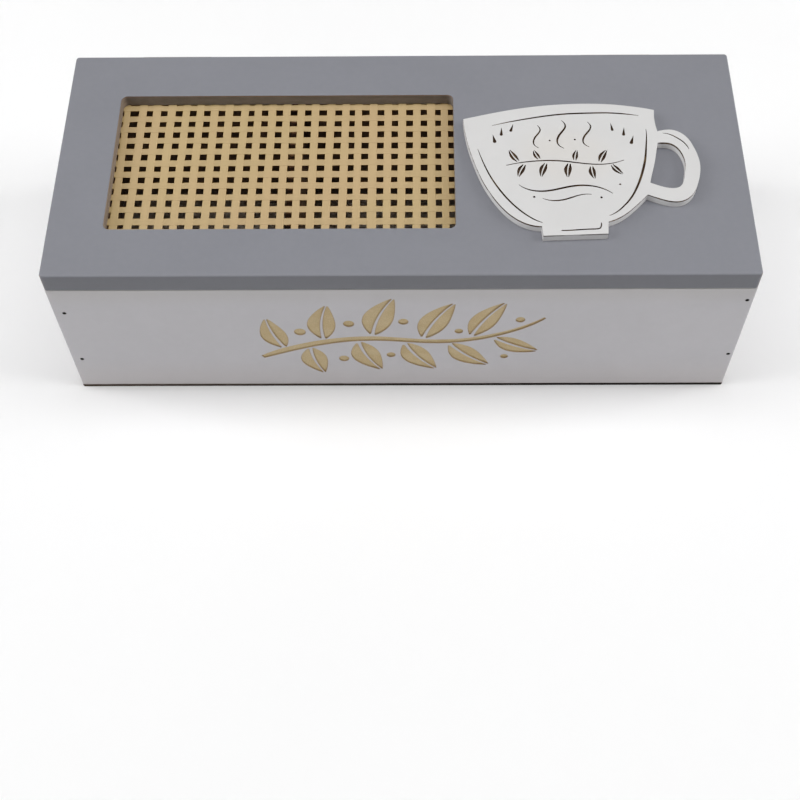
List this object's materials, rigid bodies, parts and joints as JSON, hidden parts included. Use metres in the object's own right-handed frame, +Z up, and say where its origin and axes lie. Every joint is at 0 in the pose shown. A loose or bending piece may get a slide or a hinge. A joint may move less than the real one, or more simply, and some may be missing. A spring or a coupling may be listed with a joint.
{
  "type": "tea box",
  "caption": "Low oblong wooden box with a flat lid hinged at the back, open compartments in a row, a woven rattan window and a cup-shaped plaque on the lid.",
  "frame": {"origin": "centre of the footprint on the underside, in the plane the box stands on", "axes": "+Z up, +X along the length to the right, the front faces -Y and the hinges are on +Y"},
  "size_m": [0.24, 0.1021, 0.073],
  "materials": {
    "white_painted_mdf": "matt off-white paint outside, bare fibreboard inside",
    "raw_mdf": "bare fibreboard, light brown",
    "whitewashed_board": "thin board, whitewashed plank pattern inside, dark brown cut edge",
    "grey_painted_mdf": "satin blue-grey paint on top and edges, bare fibreboard below and in the window",
    "rattan": "natural split cane, satin",
    "cup_white": "satin white, scorched edges and engraved lines",
    "hinge_steel": "thin plated steel, dulled",
    "nail_steel": "dark, dull"
  },
  "bodies": {
    "box": {"bottom_panel": "whitewashed_board", "front_panel": "white_painted_mdf", "back_panel": "white_painted_mdf", "side_panel_left": "white_painted_mdf", "side_panel_right": "white_painted_mdf", "divider_left": "raw_mdf", "divider_right": "raw_mdf", "nails_front": "nail_steel", "nails_back": "nail_steel", "nails_bottom": "nail_steel", "hinge_left_body_leaf": "hinge_steel", "hinge_right_body_leaf": "hinge_steel", "hinge_left_pin": "hinge_steel", "hinge_right_pin": "hinge_steel", "hinge_screws_body": "hinge_steel"},
    "lid": {"lid_panel": "grey_painted_mdf", "rattan_strips_crosswise": "rattan", "rattan_strips_lengthwise": "rattan", "cup_applique": "cup_white", "hinge_left_lid_leaf": "hinge_steel", "hinge_right_lid_leaf": "hinge_steel", "hinge_screws_lid": "hinge_steel"}
  },
  "joints": [
    {"name": "lid_hinge", "type": "hinge", "parent": "box", "child": "lid", "pos_m": [0, 0.0511, 0.06177], "axis": [-1, 0, 0], "range_deg": [0, 180]}
  ]
}
